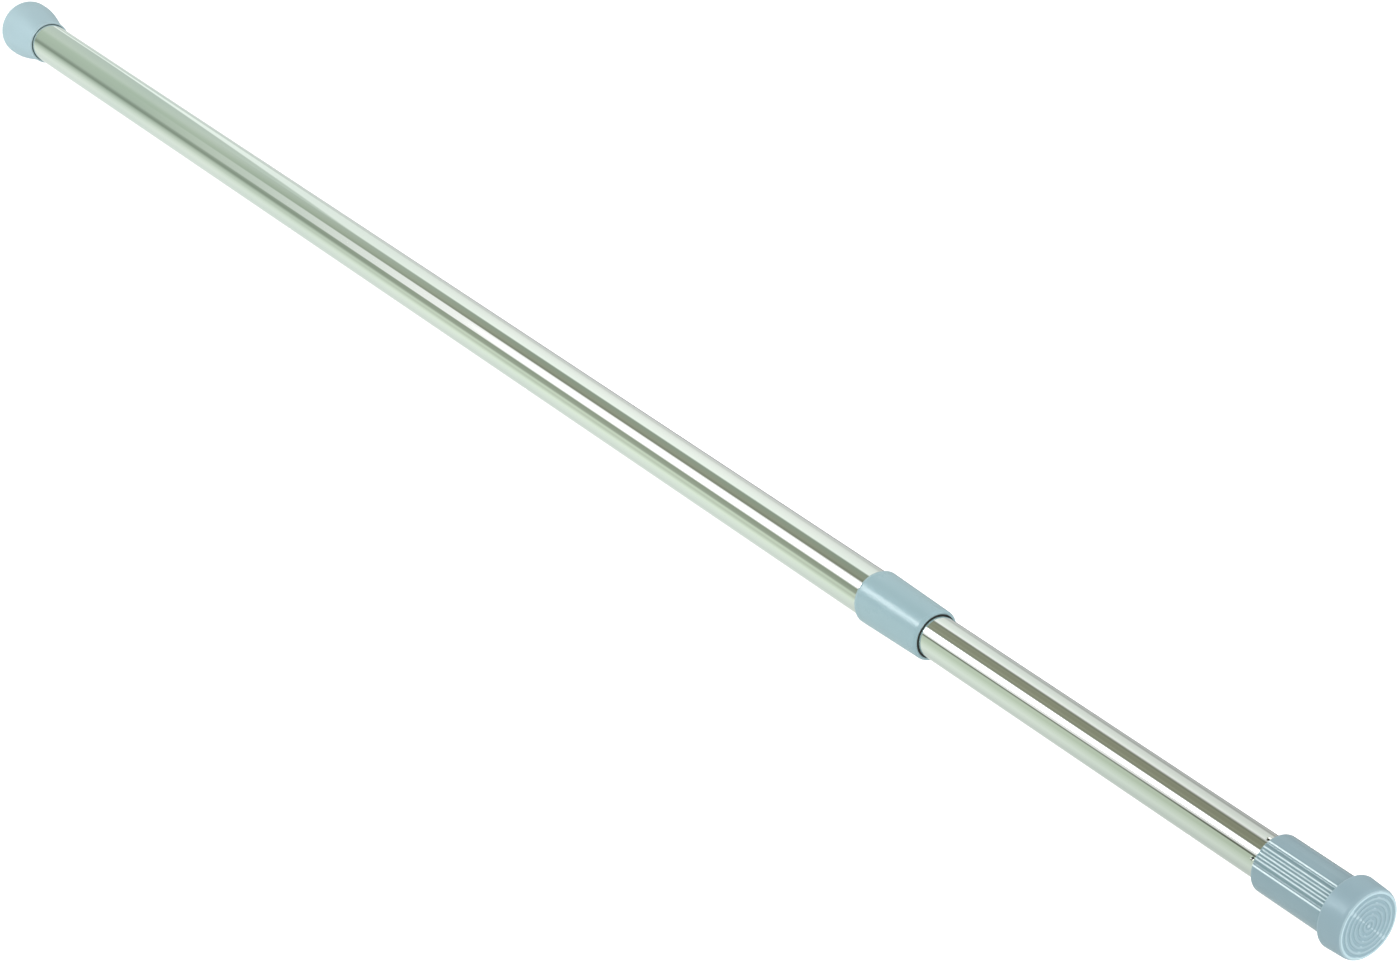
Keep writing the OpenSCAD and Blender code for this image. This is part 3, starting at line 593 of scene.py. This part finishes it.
floor_mesh = bpy.data.meshes.new("studio_floor")
floor_corners = [(-9, -9), (11, -9), (11, 9), (-9, 9)]
floor_mesh.from_pydata([(*corner, -0.6) for corner in floor_corners], [], [range(4)])
floor = bpy.data.objects.new("studio_floor", floor_mesh)
bpy.context.scene.collection.objects.link(floor)
paper, tree, shader = new_material("white_paper", Roughness=0.9)
shader.inputs["Base Color"].default_value = (0.9, 0.9, 0.9, 1)
shader.inputs["Emission Color"].default_value = (1, 1, 1, 1)
seen = tree.nodes.new("ShaderNodeLightPath").outputs["Is Camera Ray"]
tree.links.new(maths(tree, "MULTIPLY", seen, 0.4), shader.inputs["Emission Strength"])
floor_mesh.materials.append(paper)
floor.visible_glossy = False

# Angles round the bar are counted from the side that faces the camera
towards = Vector((0.7230, -0.5069, 0.4694))
facing = Vector((0, towards.y, towards.z)).normalized()
upper = facing.cross(Vector((1, 0, 0)))

world = bpy.data.worlds.new("studio")
bpy.context.scene.world = world
world.use_nodes = True
tree = world.node_tree
sky = tree.nodes["Background"]
ray = tree.nodes.new("ShaderNodeTexCoord").outputs["Generated"]
lift = add_node(tree, "ShaderNodeVectorMath", {0: ray, 1: facing}, operation="DOT_PRODUCT").outputs["Value"]
rise = add_node(tree, "ShaderNodeVectorMath", {0: ray, 1: upper}, operation="DOT_PRODUCT").outputs["Value"]
round_bar = maths(tree, "MULTIPLY_ADD", maths(tree, "ARCTAN2", rise, lift), 1 / (2 * math.pi), 0.5)


def strips(tree, place, bands):
    """Colours by the angle round the bar, in degrees from the line that faces the camera."""
    ramp = add_node(tree, "ShaderNodeValToRGB", {"Fac": place})
    stops = ramp.color_ramp.elements
    stops.remove(stops[0])
    for i, (angle, colour) in enumerate(bands):
        position = (angle + 180) / 360
        stop = stops.new(position) if i else stops[0]
        stop.position = position
        stop.color = (*colour, 1)
    return ramp.outputs["Color"]


along = add_node(tree, "ShaderNodeSeparateXYZ", {0: ray}).outputs["X"]
degrees = maths(tree, "MULTIPLY_ADD", round_bar, 360, -180)
# Near by, the strips below the bright one lie closer to it
closer = fade(tree, along, -0.665, -0.597, 0, 7)
closer = maths(tree, "MULTIPLY", closer, fade(tree, degrees, 0, -16))
degrees = maths(tree, "SUBTRACT", degrees, closer)
behind_below = [(-178, (0.86, 0.90, 0.87)), (-150, (0.73, 0.79, 0.74)), (-130, (0.66, 0.73, 0.68))]
behind_above = [(110, (0.80, 0.84, 0.80)), (130, (0.60, 0.63, 0.60)), (152, (0.66, 0.68, 0.67)),
                (158, (0.2, 0.2, 0.2)), (178, (0.2, 0.2, 0.2))]
white = (1, 1, 1)
# Mirrored by the outer tube: pale with a faint line, dark, the bright strip, a wide dark strip, pale
outer = strips(tree, round_bar, behind_below + [
    (-90, (0.76, 0.85, 0.76)), (-78, (0.77, 0.87, 0.74)), (-70, (0.65, 0.75, 0.62)),
    (-61, (0.53, 0.60, 0.49)), (-51, (0.62, 0.72, 0.58)), (-48, (0.58, 0.67, 0.54)),
    (-42, (0.34, 0.39, 0.31)), (-32, (0.31, 0.36, 0.28)), (-21, (0.29, 0.34, 0.26)),
    (-18, white), (15, white),
    (18, (0.23, 0.25, 0.19)), (26, (0.24, 0.265, 0.20)), (30, (0.30, 0.33, 0.25)),
    (57, (0.27, 0.33, 0.26)), (63, (0.90, 0.97, 0.91)), (90, (0.86, 0.91, 0.86))] + behind_above)
# Mirrored by the inner tube: a narrow dark line under the bright strip, and darker edges over it
inner = strips(tree, maths(tree, "MULTIPLY_ADD", degrees, 1 / 360, 0.5), behind_below + [
    (-90, (0.80, 0.89, 0.80)), (-70, (0.72, 0.82, 0.70)), (-50, (0.58, 0.68, 0.54)),
    (-38, (0.60, 0.69, 0.56)), (-33, (0.54, 0.64, 0.52)), (-31, (0.16, 0.18, 0.13)),
    (-22, (0.12, 0.14, 0.10)), (-18.5, white), (11.5, white),
    (14.5, (0.27, 0.29, 0.215)), (20, (0.27, 0.29, 0.21)), (26, (0.355, 0.37, 0.27)),
    (31, (0.29, 0.305, 0.22)), (42, (0.28, 0.295, 0.21)), (50, (0.31, 0.32, 0.235)),
    (56, (0.22, 0.24, 0.175)), (60, (0.24, 0.265, 0.20)), (65.5, white),
    (76, (0.95, 1, 0.95)), (84, (0.86, 0.92, 0.86))] + behind_above)
# Mirrored by the far end: the strips run into one another, and only a soft dark one is left
far = strips(tree, round_bar, [
    (-178, (0.80, 0.85, 0.81)), (-130, (0.69, 0.77, 0.72)), (-110, (0.71, 0.79, 0.73)),
    (-90, (0.75, 0.83, 0.76)), (-70, (0.66, 0.75, 0.66)), (-52, (0.49, 0.58, 0.49)),
    (-43, (0.36, 0.44, 0.36)), (-37, (0.24, 0.30, 0.24)), (-29, (0.26, 0.32, 0.26)),
    (-15, (0.41, 0.50, 0.41)), (30, (0.44, 0.54, 0.44)), (50, (0.53, 0.62, 0.54)),
    (100, (0.49, 0.58, 0.52)), (130, (0.56, 0.64, 0.59)), (150, (0.72, 0.79, 0.74)),
    (178, (0.5, 0.52, 0.52))])
# Far along, one set fades into the other, and the upper pale strip starts higher
nearer = fade(tree, along, -0.84, -0.755, smooth=True)
brink = fade(tree, along, -0.84, -0.795, 110, 62)
over_brink = maths(tree, "SUBTRACT", degrees, brink)
lower = maths(tree, "MULTIPLY", fade(tree, degrees, 57, 61), fade(tree, over_brink, 0, -5))
mirrored = tone(tree, far, outer, maths(tree, "MULTIPLY", nearer, maths(tree, "SUBTRACT", 1, lower)))
pale = maths(tree, "MULTIPLY", fade(tree, over_brink, 0, 5), fade(tree, degrees, 128, 118))
pale = maths(tree, "MULTIPLY", pale, maths(tree, "SUBTRACT", 1, nearer))
mirrored = tone(tree, mirrored, (0.90, 0.98, 0.93), pale)
# Near by, the inner tube's set takes over, with a faint shade high up
mirrored = tone(tree, mirrored, inner, fade(tree, along, -0.684, -0.67))
off_shade = maths(tree, "ABSOLUTE", maths(tree, "SUBTRACT", degrees, 128))
shade = maths(tree, "MULTIPLY", fade(tree, off_shade, 16, 4, smooth=True),
              fade(tree, along, -0.70, -0.62, 0, 0.3, smooth=True))
mirrored = tone(tree, mirrored, (0.1, 0.1, 0.1), shade)
# Over part of its length the bright strip is a lamp, so that satin plastic shows it too
off_strip = maths(tree, "ABSOLUTE", maths(tree, "ADD", degrees, 1.8))
lamp_ends = maths(tree, "MULTIPLY", fade(tree, along, -0.775, -0.70, smooth=True),
                  fade(tree, along, -0.42, -0.26, 1, 0.1, smooth=True))
lamp_part = maths(tree, "MULTIPLY", fade(tree, off_strip, 10.8, 7.3), lamp_ends)
strength = maths(tree, "MULTIPLY_ADD", lamp_part, 9.6, fade(tree, along, -0.72, -0.60, 1, 0.8))
# Only shiny parts see the strips: the rest is a plain white surround
rays = tree.nodes.new("ShaderNodeLightPath")
glossy = rays.outputs["Is Glossy Ray"]
tree.links.new(tone(tree, white, mirrored, glossy), sky.inputs["Color"])
plain = maths(tree, "MULTIPLY_ADD", rays.outputs["Is Camera Ray"], 0.15, 0.85)
mixed = add_node(tree, "ShaderNodeMix", {"Factor": glossy, "A": plain, "B": strength}, data_type="FLOAT")
tree.links.new(mixed.outputs["Result"], sky.inputs["Strength"])

lamp_aim = Vector((0.8, 0, 0))
for name, place, size, power in (("key", (0.2, -1.6, 1.7), 1.6, 12), ("fill", (2.2, 0.8, 1.2), 1.6, 5),
                                 ("end", (3.2, 0.3, 0.1), 1.6, 17), ("low", (-0.3, -1.2, -0.3), 0.8, 5)):
    lamp = bpy.data.lights.new(name, "AREA")
    lamp.size, lamp.energy = size, power
    holder = bpy.data.objects.new(name, lamp)
    holder.location = place
    holder.rotation_euler = (lamp_aim - Vector(place)).to_track_quat("-Z", "Y").to_euler()
    holder.visible_glossy = False
    bpy.context.scene.collection.objects.link(holder)

bar_middle, camera_distance = Vector((0.795, 0, 0)), 1.9876
aim = bar_middle - Vector((0, 0.68 * mm, 0.73 * mm))
camera = bpy.data.objects.new("camera", bpy.data.cameras.new("camera"))
camera.data.lens = 97.59
camera.data.clip_end = 50
camera.location = bar_middle + camera_distance * towards
camera.rotation_euler = (aim - camera.location).to_track_quat("-Z", "Y").to_euler()
bpy.context.scene.collection.objects.link(camera)
bpy.context.scene.camera = camera
bpy.context.scene.view_settings.view_transform = "Standard"
